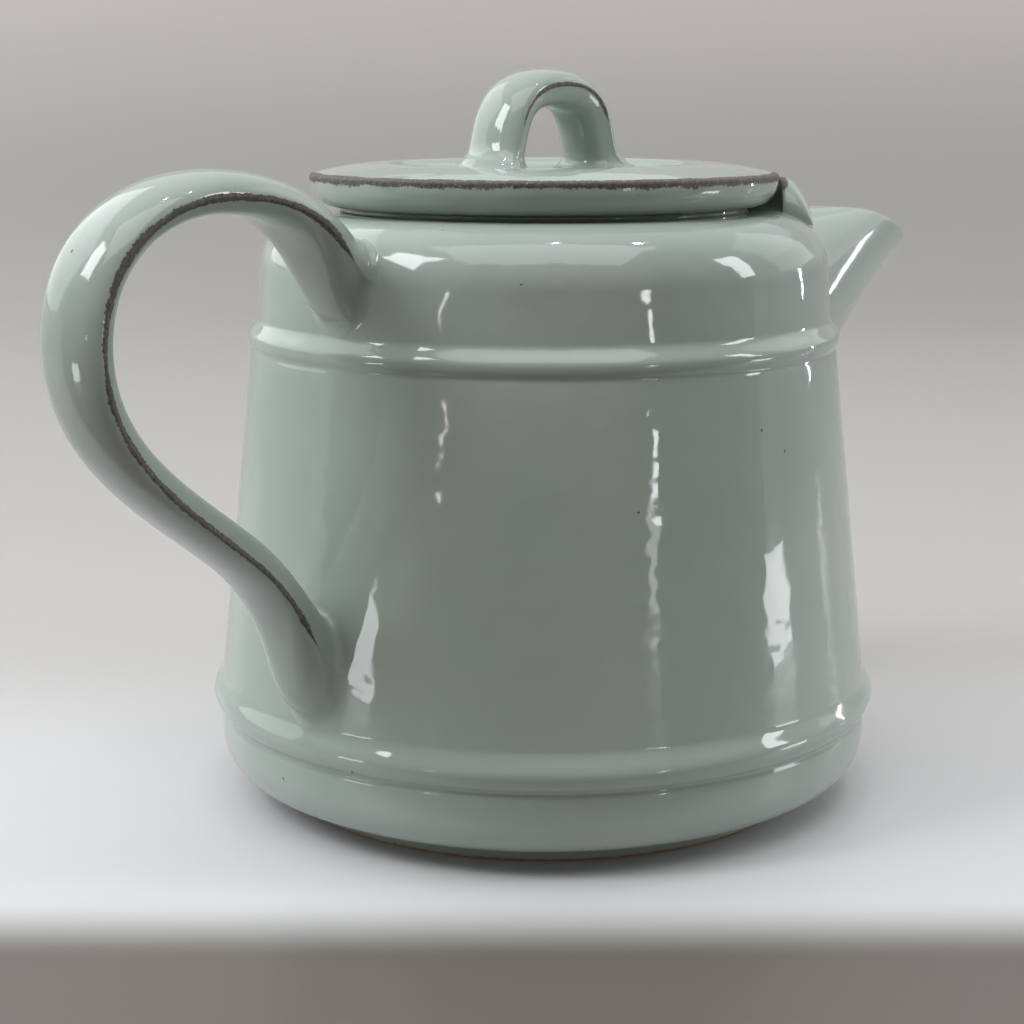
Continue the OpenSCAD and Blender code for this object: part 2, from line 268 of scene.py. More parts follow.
# ---------------------------------------------------------------- pot
def pot_profile():
    """Closed section of the pot from the axis underneath, up the outside, and down the inside."""
    heel_c = (HEEL_WALL_R - HEEL_R, HEEL_TOP)
    # Heights where the spacing changes, and the number of points from each to the next
    spans = ((HEEL_TOP, 4), (LOWER_Z - LOWER_HALF, 41), (LOWER_Z + LOWER_HALF, 24),
             (UPPER_Z - UPPER_HALF, 33), (NECK_Z0, 9), (SHOULDER_C[1], 0))
    zs = np.unique(np.concatenate([np.linspace(a, b, n) for (a, n), (b, _) in zip(spans, spans[1:])]))
    outer = np.stack([wall_r(zs), zs], -1)
    inner_r, inner_heel_r = HEEL_WALL_R - WALL, 7
    seat_edge = round_corner((45, SHOULDER_Z), (MOUTH_R, SHOULDER_Z), (MOUTH_R, SHOULDER_Z - 4), 0.9)
    lower_edge = round_corner((MOUTH_R, SHOULDER_Z), (MOUTH_R, SHOULDER_Z - WALL),
                              (45, SHOULDER_Z - WALL), 0.9)
    ceiling = arc(SHOULDER_C, SHOULDER_R - WALL, 90, 0, 9)
    taper_top = UPPER_Z - 4
    inner_zs = np.linspace(taper_top, LOWER_Z + 6, 14)[1:]
    inner_wall = np.stack([lean_r(inner_zs) - WALL, inner_zs], -1)
    inner_heel = arc((inner_r - inner_heel_r, FLOOR_Z + inner_heel_r), inner_heel_r, 0, -90, 8)
    return line(
        (0, FOOT_H), (40, FOOT_H), (heel_c[0] - 4, FOOT_H), arc(heel_c, HEEL_R, -90, 0, 16), outer,
        arc(SHOULDER_C, SHOULDER_R, 0, 90, 25), (46, SHOULDER_Z), seat_edge, lower_edge, ceiling,
        (float(lean_r(UPPER_Z)) - WALL, taper_top), inner_wall, inner_heel, (30, FLOOR_Z), (0, FLOOR_Z))


def strainer_cutter():
    """Rods through the wall behind the spout, in rows of three and four."""
    verts, faces = [], []
    sides, rows, pitch, hole_r, lowest_z = 28, 5, 8.0, 2.25, 74.0
    for row in range(rows):
        count = 3 + row % 2
        for i in range(count):
            y0, z0 = (i - (count - 1) / 2) * pitch, lowest_z + row * pitch
            base = len(verts)
            for x in (50.0, 85.0):
                for k in range(sides):
                    a = 2 * math.pi * k / sides
                    verts.append((x, y0 + hole_r * math.cos(a), z0 + hole_r * math.sin(a)))
            for k in range(sides):
                m = (k + 1) % sides
                faces.append((base + k, base + m, base + sides + m, base + sides + k))
            faces.append(tuple(base + k for k in range(sides)))
            faces.append(tuple(base + sides + k for k in reversed(range(sides))))
    return make_object("strainer_cutter", verts, faces)


def steam_cutter(x0, r, z0, z1):
    """A rod through the lid."""
    sides = 36
    ring = [(x0 + r * math.cos(2 * math.pi * k / sides), r * math.sin(2 * math.pi * k / sides))
            for k in range(sides)]
    verts = [(x, y, z) for z in (z0, z1) for x, y in ring]
    faces = [(k, (k + 1) % sides, sides + (k + 1) % sides, sides + k) for k in range(sides)]
    faces += [tuple(range(sides)), tuple(range(2 * sides - 1, sides - 1, -1))]
    return make_object("steam_cutter", verts, faces)


def cut(obj, cutter, sharp_deg=35):
    """Takes the cutter out of the object's mesh for good, and keeps the new rims crisp."""
    mod = obj.modifiers.new("holes", "BOOLEAN")
    mod.operation, mod.solver, mod.object = "DIFFERENCE", "EXACT", cutter
    dg = bpy.context.evaluated_depsgraph_get()
    made = bpy.data.meshes.new_from_object(obj.evaluated_get(dg))
    obj.modifiers.clear()
    old, obj.data = obj.data, made
    bpy.data.meshes.remove(old)
    bpy.data.objects.remove(cutter)
    limit = math.radians(sharp_deg)
    bm = bmesh.new()
    bm.from_mesh(obj.data)
    for e in bm.edges:
        e.smooth = not (len(e.link_faces) == 2 and e.calc_face_angle(0.0) > limit)
    for f in bm.faces:
        f.smooth = True
    bm.to_mesh(obj.data)
    bm.free()
    return obj


pot = revolve("pot_wall_glazed", pot_profile(), 288,
              wobble=hand_made(seed=3.1, amount=0.10, across=21.0, up=34.0))
cut(pot, strainer_cutter())
foot = revolve("foot_ring_clay", line(
    (FOOT_IN, FOOT_H + BURIED),
    round_corner((FOOT_IN, FOOT_H), (FOOT_IN, 0), (FOOT_MID, 0), 1.0),
    round_corner((FOOT_MID, 0), (FOOT_OUT, 0), (FOOT_OUT, FOOT_H), 0.9, 8),
    (FOOT_OUT, 1.6), (FOOT_OUT, 2.4), (FOOT_OUT + 0.05, 3.2), (FOOT_OUT + 0.3, FOOT_H + BURIED)),
    240, closed=True)
seat = revolve("mouth_rim_clay", line(
    (SEAT_IN, SHOULDER_Z - BURIED),
    round_corner((SEAT_IN, SHOULDER_Z), (SEAT_IN, LID_SEAT_Z), (SEAT_MID, LID_SEAT_Z), 0.4),
    round_corner((SEAT_MID, LID_SEAT_Z), (SEAT_OUT, LID_SEAT_Z), (SEAT_OUT, SHOULDER_Z), 0.5),
    (SEAT_OUT, SHOULDER_Z - BURIED)), 240, closed=True)


# ---------------------------------------------------------------- swept straps
SIDES = 64  # points round a strap


def strap_section():
    """Angle of each point round a strap's section, closer together near its two arrises. The
    arrises are at 0 and 180 degrees, with the outer face between them."""
    q = SIDES // 4
    u = (np.arange(q) / q) ** 1.25 * (np.pi / 2)
    quarter = np.concatenate([u, [np.pi / 2]])
    return np.concatenate([u, np.pi - quarter[:0:-1], np.pi + u, 2 * np.pi - quarter[:0:-1]])


def strap_points(at, way, half_w, out_d, in_d, lip, boxy):
    """Rings of points for a strap whose middle line is in the plane y = 0. Its outer face is
    round, and its inner one is flatter the smaller boxy is, and set in by lip at the arrises."""
    a = strap_section()
    c, s = np.cos(a), np.sin(a)
    outer = s >= -1e-9
    depth = np.where(outer, out_d[:, None] * s, in_d[:, None] * s)
    width = half_w[:, None] * np.sign(c) * np.where(outer, abs(c) ** 0.9, abs(c) ** boxy)
    step = np.where(outer, 0.0, lip * (1 - np.exp(-abs(depth) / 0.6)))
    width = width - np.sign(c) * np.minimum(step, abs(width))
    out = np.stack([-way[:, 1], way[:, 0]], -1)
    p = at[:, None, :] + out[:, None, :] * depth[..., None]
    return np.stack([p[..., 0], width, p[..., 1]], -1)


def arris_distance(rings):
    """Distance in mm from each point, round its ring, to the nearer arris."""
    step = np.linalg.norm(np.roll(rings, -1, 1) - rings, axis=-1)
    run = np.concatenate([np.zeros((len(rings), 1)), np.cumsum(step, 1)], 1)
    whole = run[:, -1:]
    run = run[:, :-1]
    best = np.full(run.shape, 1e9)
    for k in (0, SIDES // 2):
        d = abs(run - run[:, k:k + 1])
        best = np.minimum(best, np.minimum(d, whole - d))
    return best


def along(points, s, keep):
    """Points of each line round the strap, at its own places keep along s."""
    sides = points.shape[1]
    out = np.empty((keep.shape[0], sides, 3))
    for k in range(sides):
        for j in range(3):
            out[:, k, j] = np.interp(keep[:, k], s, points[:, k, j])
    return out


def rooted(points, s, gap, normal, centre, reach, spread_out, n_mid, ends=(True, True)):
    """Grows a concave fillet where each end of a swept skin meets a surface. gap(p) is the
    distance outside that surface and normal(p) its outward normal. The fillet goes up the skin
    by reach, and out along the surface, away from centre(p), by spread_out. Returns rings of
    points from inside the surface at one end to inside it at the other, and each one's place."""
    n_fillet = 9
    sunk_d, buried_d = 0.03, 1.2  # depth of the fillet's edge and of the end behind it
    rings, sides = points.shape[:2]
    seg = np.linalg.norm(np.diff(points, axis=0), axis=-1)
    length = np.concatenate([np.zeros((1, sides)), np.cumsum(seg, 0)], 0)
    outside = gap(points)
    first, last = np.zeros(sides), np.zeros(sides)
    start, stop = np.zeros(sides), np.full(sides, s[-1])
    for k in range(sides):
        if ends[0]:
            i = next(j for j in range(rings - 1) if outside[j, k] <= 0 < outside[j + 1, k])
            f = outside[i, k] / (outside[i, k] - outside[i + 1, k])
            here = length[i, k] + f * seg[i, k]
            first[k] = np.interp(here, length[:, k], s)
            start[k] = np.interp(here + reach, length[:, k], s)
        if ends[1]:
            i = next(j for j in range(rings - 1, 0, -1) if outside[j, k] <= 0 < outside[j - 1, k])
            f = outside[i - 1, k] / (outside[i - 1, k] - outside[i, k])
            here = length[i - 1, k] + f * seg[i - 1, k]
            last[k] = np.interp(here, length[:, k], s)
            stop[k] = np.interp(here - reach, length[:, k], s)
    mid_t = np.linspace(0, 1, n_mid)[:, None]
    mid_s = start + (stop - start) * mid_t
    parts, places = [along(points, s, mid_s)], [mid_s]

    def fillet(cross_s, edge_s):
        corner = along(points, s, cross_s[None])[0]
        edge = along(points, s, edge_s[None])[0]
        n = normal(corner)
        away = corner - centre(corner)
        away -= (away * n).sum(-1, keepdims=True) * n
        away /= np.linalg.norm(away, axis=-1, keepdims=True)
        foot_pt = corner + away * spread_out
        for _ in range(4):
            nn = normal(foot_pt)
            foot_pt = foot_pt - gap(foot_pt)[:, None] * nn
        foot_pt = foot_pt - normal(foot_pt) * sunk_d
        t = np.linspace(0, 1, n_fillet)[:, None, None]
        curve = (1 - t) ** 2 * foot_pt + 2 * t * (1 - t) * corner + t * t * edge
        buried = foot_pt - normal(foot_pt) * buried_d
        return np.concatenate([buried[None], curve[:-1]])

    if ends[0]:
        ring = fillet(first, start)
        parts.insert(0, ring)
        places.insert(0, np.repeat(start[None], len(ring), 0))
    if ends[1]:
        ring = fillet(last, stop)[::-1]
        parts.append(ring)
        places.append(np.repeat(stop[None], len(ring), 0))
    return np.concatenate(parts), np.concatenate(places)


# Middle line of the handle: distance from the pot's axis and height, one cubic curve a row
HANDLE_LINE = [
    [(50, 115), (69, 111.5), (63, 133.1), (92.7, 135.7)],
    [(92.7, 135.7), (111.7, 137.7), (127, 127.4), (127, 109.5)],
    [(127, 109.5), (127, 89.6), (108.5, 78.6), (93.3, 66.4)],
    [(93.3, 66.4), (76.3, 52.9), (77.2, 37.6), (65.5, 37.3)]]


def swept(lines, half_w, out_d, in_d, lip, boxy):
    """Strap along a line of cubic curves, and the place from 0 to 1 of each of its rings. Its
    half width and its depths to both faces are functions of that place."""
    per = 90
    count = per * len(lines)
    i = np.arange(count + 1)
    piece = np.minimum(i // per, len(lines) - 1)
    t = i / per - piece
    at = np.array([cubic(lines[p], [tt])[0] for p, tt in zip(piece, t)])
    way = np.array([cubic_way(lines[p], [tt])[0] for p, tt in zip(piece, t)])
    s = i / count
    return strap_points(at, way, half_w(s), out_d(s), in_d(s), lip, boxy), s


def fade(s, low, high, soft):
    """1 between two places, and 0 outside them."""
    return ease((s - low) / soft) * ease((high - s) / soft)


def make_handle():
    def flare(ends, roots):
        """A size along the strap: it changes evenly from end to end, and towards each root."""
        def size(s):
            even = ends[0] + (ends[1] - ends[0]) * s
            high, low = (1 - ease(s / 0.27)) ** 2, (1 - ease((1 - s) / 0.25)) ** 2
            return even + (roots[0] - even) * high + (roots[1] - even) * low
        return size

    root_depths = (9.4, 10.7)
    points, s = swept(HANDLE_LINE, flare((10.5, 7.25), (7.5, 8)), flare((6, 2), root_depths),
                      flare((2.4, 6.8), root_depths), lip=0.45, boxy=0.62)
    points[..., 0] *= -1

    def centre(p):
        return np.stack([p[:, 0] * 0 + p[:, 0].mean(), p[:, 1] * 0, p[:, 2] * 0 + p[:, 2].mean()], -1)

    rings, places = rooted(points, s, wall_gap, wall_normal, centre, 2.6, 2.2, n_mid=210)
    obj = tube("handle_strap", rings, sharp_rings=(1, len(rings) - 2))
    d = arris_distance(rings)
    wear = 1.9 * fade(places, 0.115, 0.885, 0.05)
    set_attribute(obj, "arris", np.r_[d.ravel(), FAR, FAR])
    set_attribute(obj, "wear", np.r_[wear.ravel(), 0, 0])
    return obj


handle = make_handle()


# ---------------------------------------------------------------- spout
# Ridge and keel of the spout, each one cubic curve from the pot to the lip
SPOUT_TOP = [(59.5, 119), (76.5, 126.3), (89.5, 127.3), (104.3, 126.2)]
SPOUT_KEEL = [(67.5, 57), (92, 69), (118.5, 105.7), (147, 113.3)]
RIM_ARCH = 3.5  # how far the sides of the lip stand ahead of its ridge and keel


def spout_points(s, inset, sides):
    """Rings of points at places s along the spout, set in from its outer face by inset."""
    top, keel = cubic(SPOUT_TOP, s), cubic(SPOUT_KEEL, s)
    middle = (top + keel) / 2
    up = (top - keel) / np.linalg.norm(top - keel, axis=-1, keepdims=True)
    half_h = np.linalg.norm(top - keel, axis=-1) / 2 - inset
    root_w, middle_w, lip_w = 20, 17, 10.7
    half_w = root_w * (1 - s) ** 2 + 2 * middle_w * s * (1 - s) + lip_w * s * s - inset
    ahead = np.stack([up[:, 1], -up[:, 0]], -1)
    a = 2 * np.pi * np.arange(sides) / sides
    y = half_w[:, None] * np.sin(a) * (1 + 0.05 * np.cos(a))
    p = middle[:, None, :] + up[:, None, :] * (half_h[:, None] * np.cos(a))[..., None]
    p = p + ahead[:, None, :] * (RIM_ARCH * s[:, None] ** 4 * np.sin(a) ** 2)[..., None]
    sag = p[..., 0] - np.sqrt(np.maximum(p[..., 0] ** 2 - y ** 2, 0))
    x = p[..., 0] - sag * ((1 - s) ** 3)[:, None]
    return np.stack([x, y, p[..., 1]], -1)


def make_spout():
    sides, rim_s = 72, 0.974
    s = np.linspace(0, rim_s, 120)
    outer, inner = spout_points(s, 0, sides), spout_points(s, SPOUT_WALL, sides)

    def centre(p):
        return np.stack([p[:, 0], p[:, 1] * 0, p[:, 2] * 0 + p[:, 2].mean()], -1)

    skin, _ = rooted(outer, s, wall_gap, wall_normal, centre, 4.5, 4.5, n_mid=70, ends=(True, False))
    o, i = outer[-1], inner[-1]
    mid, r = (o + i) / 2, np.linalg.norm(o - i, axis=-1, keepdims=True) / 2
    ahead = spout_points(np.array([1.0]), 0, sides)[0] - o
    ahead /= np.linalg.norm(ahead, axis=-1, keepdims=True)
    t = np.radians(np.linspace(0, 180, 13))[1:-1, None, None]
    rim = mid + (o - mid) * np.cos(t) + ahead * r * np.sin(t)
    first_out = np.array([max(int(np.argmax(wall_gap(inner[:, k]) > 0)), 1) for k in range(sides)])
    root_s = s[first_out - 1]
    channel = along(inner, s, rim_s + (root_s - rim_s) * np.linspace(0, 1, 50)[:, None])
    grid = np.concatenate([skin, rim, channel])
    return tube("spout_beak", grid, loop=True, sharp_rings=(0, 1, len(grid) - 1))


spout = make_spout()


# ---------------------------------------------------------------- guard
def make_guard():
    # Inner and outer radius, top, and how far the outer face curves down from it
    r0, r1, top0, rise = 52.6, 59.3, 136.4, 10.4
    # Degrees at full height on each side of the spout, and degrees of each rounded end
    straight, rounding = 42.0, 11.0
    ends = straight + rounding * np.sin(np.radians(np.linspace(0, 90, 17)))
    degrees = np.concatenate([-ends[::-1], np.linspace(-straight, straight, 75)[1:-1], ends])
    phis = np.radians(degrees)
    base = SHOULDER_C[1] + math.sqrt(SHOULDER_R ** 2 - (r0 - SHOULDER_C[0]) ** 2) - 0.4
    over = np.clip((np.abs(degrees) - straight) / rounding, 0, 1)
    tops = base + (top0 - base) * np.sqrt(1 - over ** 2)
    rings = []
    for top in tops:
        h = top - (top0 - rise)
        a = np.radians(np.linspace(88, 0, 22))
        outer = np.stack([r0 + 0.9 + (r1 - r0 - 0.9) * np.cos(a), top0 - rise + h * np.sin(a)], -1)
        inner = round_corner((r0, top - 6), (r0, top), (r0 + 3, top - 0.03), 0.7, 5)
        section = line((r0 + 0.4, base - 1.8), (r0, base - 0.8), (r0, base + 0.4 * (top - base)),
                       inner, outer, (r1 - 0.6, top0 - rise - 1.2), (r1 - 3.2, top0 - rise - 2.2))
        rings.append(resample(section, 44))
    rings = np.array(rings)
    grid = np.stack([rings[..., 0] * np.cos(phis)[:, None], rings[..., 0] * np.sin(phis)[:, None],
                     rings[..., 1]], -1)
    obj = tube("guard_crescent", grid)
    base_r = np.hypot(grid[..., 0], grid[..., 1])
    top_line = grid[..., 2].max(1, keepdims=True)
    d = np.hypot(base_r - (r0 + 0.3), grid[..., 2] - top_line)
    at_end = np.clip((np.abs(degrees) - 38) / 6, 0, 1)
    tall = np.clip((tops - base - 5) / 1.5, 0, 1)
    wear = (0.9 + 0.5 * at_end) * tall
    set_attribute(obj, "arris", np.r_[d.ravel(), FAR, FAR])
    set_attribute(obj, "wear", np.r_[(wear[:, None] * np.ones_like(d)).ravel(), 0, 0])
    return obj


def resample(pts, n):
    """The same line as n evenly spaced points."""
    run = np.r_[0, np.cumsum(np.linalg.norm(np.diff(pts, axis=0), axis=1))]
    t = np.linspace(0, run[-1], n)
    return np.stack([np.interp(t, run, pts[:, j]) for j in range(pts.shape[1])], -1)


guard = make_guard()


# ---------------------------------------------------------------- lid
def lid_top(r):
    """Height of the lid's upper face at each radius."""
    r = np.asarray(r, float)
    t = np.clip((LID_R - 0.3 - r) / (LID_R - 0.3 - CREST_R), 0, 1)
    dome = RIM_EDGE_Z + (CREST_Z - RIM_EDGE_Z) * np.sin(np.pi / 2 * t)
    return MIDDLE_Z + (dome - MIDDLE_Z) * ease((r - MIDDLE_R + 0.6) / 3.0)


def lid_profile():
    """Closed section of the lid from the axis underneath, round the rim, and back over the top."""
    a = np.radians(np.linspace(0, 84, 14))
    rim = np.stack([46 + 5.5 * np.sin(a), LID_SEAT_Z + 5.4 - 5.4 * np.cos(a)], -1)
    edge = round_corner((LID_R, 134), (LID_R + 0.05, RIM_EDGE_Z),
                        (LID_R - 3, RIM_EDGE_Z + 0.3), 0.75, 9)
    rs = np.concatenate([np.linspace(LID_R - 1.0, CREST_R + 1, 22),
                         np.linspace(CREST_R + 1, MIDDLE_R - 1, 22)[1:],
                         np.linspace(MIDDLE_R - 1, 2, 16)[1:]])
    under = round_corner((34, LID_SEAT_Z), (34, LID_SEAT_Z + 3), (30, LID_SEAT_Z + 3), 1.5)
    return line((0, LID_SEAT_Z + 3), (14, LID_SEAT_Z + 3), under[::-1],
                round_corner((34, 133), (34, LID_SEAT_Z), (40, LID_SEAT_Z), 0.6), (40, LID_SEAT_Z),
                (43, LID_SEAT_Z), rim, (LID_R, LID_SEAT_Z + 5.4), (LID_R, RIM_EDGE_Z - 1.1), edge,
                np.stack([rs, lid_top(rs)], -1), (0, MIDDLE_Z))


def vertex_array(obj):
    """The object's points in mm."""
    co = np.empty(len(obj.data.vertices) * 3)
    obj.data.vertices.foreach_get("co", co)
    return co.reshape(-1, 3) / MM


lid = revolve("lid_plate", lid_profile(), 288,
              wobble=hand_made(seed=8.4, amount=0.06, across=24.0, up=20.0))
cut(lid, steam_cutter(x0=5.0, r=1.5, z0=131.0, z1=145.0))
co = vertex_array(lid)
set_attribute(lid, "arris", np.hypot(np.hypot(co[:, 0], co[:, 1]) - LID_R, co[:, 2] - RIM_EDGE_Z))
set_attribute(lid, "wear", np.full(len(co), 1.45))
collar = revolve("lid_collar_ring", line(
    (COLLAR_IN, LID_SEAT_Z + 0.2),
    round_corner((COLLAR_IN, LID_SEAT_Z), (COLLAR_IN, COLLAR_Z), (COLLAR_MID, COLLAR_Z), 0.9),
    round_corner((COLLAR_MID, COLLAR_Z), (COLLAR_OUT, COLLAR_Z), (COLLAR_OUT, LID_SEAT_Z), 0.9),
    (COLLAR_OUT, LID_SEAT_Z + 0.2)), 200, closed=True)


# ---------------------------------------------------------------- knob
# Middle line of the knob: place along the pot's length and height, one cubic curve a row
KNOB_LINE = [
    [(-18.3, 137.6), (-13.3, 143.6), (-17.1, 156.6), (0, 156.6)],
    [(0, 156.6), (17.1, 156.6), (13.3, 143.6), (18.3, 137.6)]]


def lengthened(points, s, extra):
    """Adds a straight stretch below each end of a swept skin."""
    more = 8
    step = extra / more
    head = (points[0] - points[1]).mean(0)
    tail = (points[-1] - points[-2]).mean(0)
    head, tail = head / np.linalg.norm(head), tail / np.linalg.norm(tail)
    run = np.arange(1, more + 1)[:, None, None] * step
    points = np.concatenate([(points[0] + head * run)[::-1], points, points[-1] + tail * run])
    ds = (s[1] - s[0]) * np.arange(1, more + 1)
    return points, np.concatenate([(s[0] - ds)[::-1], s, s[-1] + ds])


def make_knob():
    def lid_gap(p):
        return p[..., 2] - MIDDLE_Z

    def lid_normal(p):
        n = np.zeros_like(p)
        n[..., 2] = 1
        return n

    def foot_flare(s):
        return 1.7 * (1 - ease(np.minimum(s, 1 - s) / 0.16)) ** 2

    points, s = swept(KNOB_LINE, lambda s: 7.0 + foot_flare(s), lambda s: 3.4 + foot_flare(s),
                      lambda s: 4.9 + foot_flare(s), lip=0.35, boxy=0.55)
    points[..., 0] *= -1
    points, s = lengthened(points, s, 4.0)

    def centre(p):
        return np.stack([p[:, 0] * 0 + p[:, 0].mean(), p[:, 1] * 0, p[:, 2]], -1)

    rings, places = rooted(points, s, lid_gap, lid_normal, centre, 3.0, 2.6, n_mid=120)
    obj = tube("lid_knob_loop", rings, sharp_rings=(1, len(rings) - 2))
    d = arris_distance(rings)
    wear = 0.5 * fade(places, 0.22, 0.80, 0.06)
    set_attribute(obj, "arris", np.r_[d.ravel(), FAR, FAR])
    set_attribute(obj, "wear", np.r_[wear.ravel(), 0, 0])
    return obj


knob = make_knob()


# ---------------------------------------------------------------- materials
def nodes_of(name):
    """A new material, its node tree, and the shader that it shows."""
    mat = bpy.data.materials.new(name)
    mat.use_nodes = True
    tree = mat.node_tree
    tree.nodes.clear()
    out = tree.nodes.new("ShaderNodeOutputMaterial")
    bsdf = tree.nodes.new("ShaderNodeBsdfPrincipled")
    tree.links.new(bsdf.outputs["BSDF"], out.inputs["Surface"])
    return mat, tree, bsdf


class Graph:
    """Short calls for the few node kinds that these materials use."""

    def __init__(self, tree):
        self.tree = tree
        self.place = tree.nodes.new("ShaderNodeTexCoord").outputs["Object"]

    def put(self, socket, value):
        if isinstance(value, bpy.types.NodeSocket):
            self.tree.links.new(value, socket)
        elif value is not None:
            socket.default_value = value

    def math(self, op, a, b=None, c=None):
        n = self.tree.nodes.new("ShaderNodeMath")
        n.operation = op
        for socket, value in zip(n.inputs, (a, b, c)):
            self.put(socket, value)
        return n.outputs[0]

    def noise(self, scale, detail=3.0, rough=0.5, offset=(0, 0, 0), stretch=(1, 1, 1)):
        m = self.tree.nodes.new("ShaderNodeMapping")
        m.inputs["Location"].default_value = offset
        m.inputs["Scale"].default_value = stretch
        self.put(m.inputs["Vector"], self.place)
        n = self.tree.nodes.new("ShaderNodeTexNoise")
        self.put(n.inputs["Vector"], m.outputs[0])
        n.inputs["Scale"].default_value = scale
        n.inputs["Detail"].default_value = detail
        n.inputs["Roughness"].default_value = rough
        return n.outputs["Fac"]

    def dots(self, scale, radius_mm, offset=(0, 0, 0)):
        """1 inside small round spots scattered at about one to a cell."""
        m = self.tree.nodes.new("ShaderNodeMapping")
        m.inputs["Location"].default_value = offset
        self.put(m.inputs["Vector"], self.place)
        v = self.tree.nodes.new("ShaderNodeTexVoronoi")
        self.put(v.inputs["Vector"], m.outputs[0])
        v.inputs["Scale"].default_value = scale
        r = radius_mm * MM * scale
        return self.step(v.outputs["Distance"], r * 1.25, r * 0.75)

    def step(self, value, a, b, low=0.0, high=1.0):
        """Goes smoothly from low to high while the value goes from a to b."""
        n = self.tree.nodes.new("ShaderNodeMapRange")
        n.interpolation_type = "SMOOTHSTEP"
        self.put(n.inputs["Value"], value)
        for name, v in (("From Min", a), ("From Max", b), ("To Min", low), ("To Max", high)):
            n.inputs[name].default_value = v
        return n.outputs["Result"]

    def attribute(self, name):
        n = self.tree.nodes.new("ShaderNodeAttribute")
        n.attribute_name = name
        return n.outputs["Fac"]

    def mix(self, factor, a, b):
        n = self.tree.nodes.new("ShaderNodeMix")
        n.data_type = "RGBA"
        self.put(n.inputs["Factor"], factor)
        colour = [s for s in n.inputs if s.type == "RGBA"]
        self.put(colour[0], a if isinstance(a, bpy.types.NodeSocket) else (*a, 1))
        self.put(colour[1], b if isinstance(b, bpy.types.NodeSocket) else (*b, 1))
        return next(s for s in n.outputs if s.type == "RGBA")

    def bump(self, height, depth_mm, normal=None):
        n = self.tree.nodes.new("ShaderNodeBump")
        n.inputs["Distance"].default_value = depth_mm * MM
        n.inputs["Strength"].default_value = 1.0
        self.put(n.inputs["Height"], height)
        self.put(n.inputs["Normal"], normal)
        return n.outputs["Normal"]


SAGE = (0.352, 0.405, 0.372)
SAGE_DEEP = (0.322, 0.378, 0.345)
SAGE_THIN = (0.385, 0.430, 0.395)
WORN_THIN = (0.30, 0.31, 0.28)  # glaze about to wear through
BARE_DARK = (0.062, 0.055, 0.053)
BARE_BROWN = (0.135, 0.115, 0.107)
CLAY = (0.42, 0.24, 0.14)
CLAY_PALE = (0.55, 0.38, 0.26)
PIT = (0.10, 0.10, 0.085)


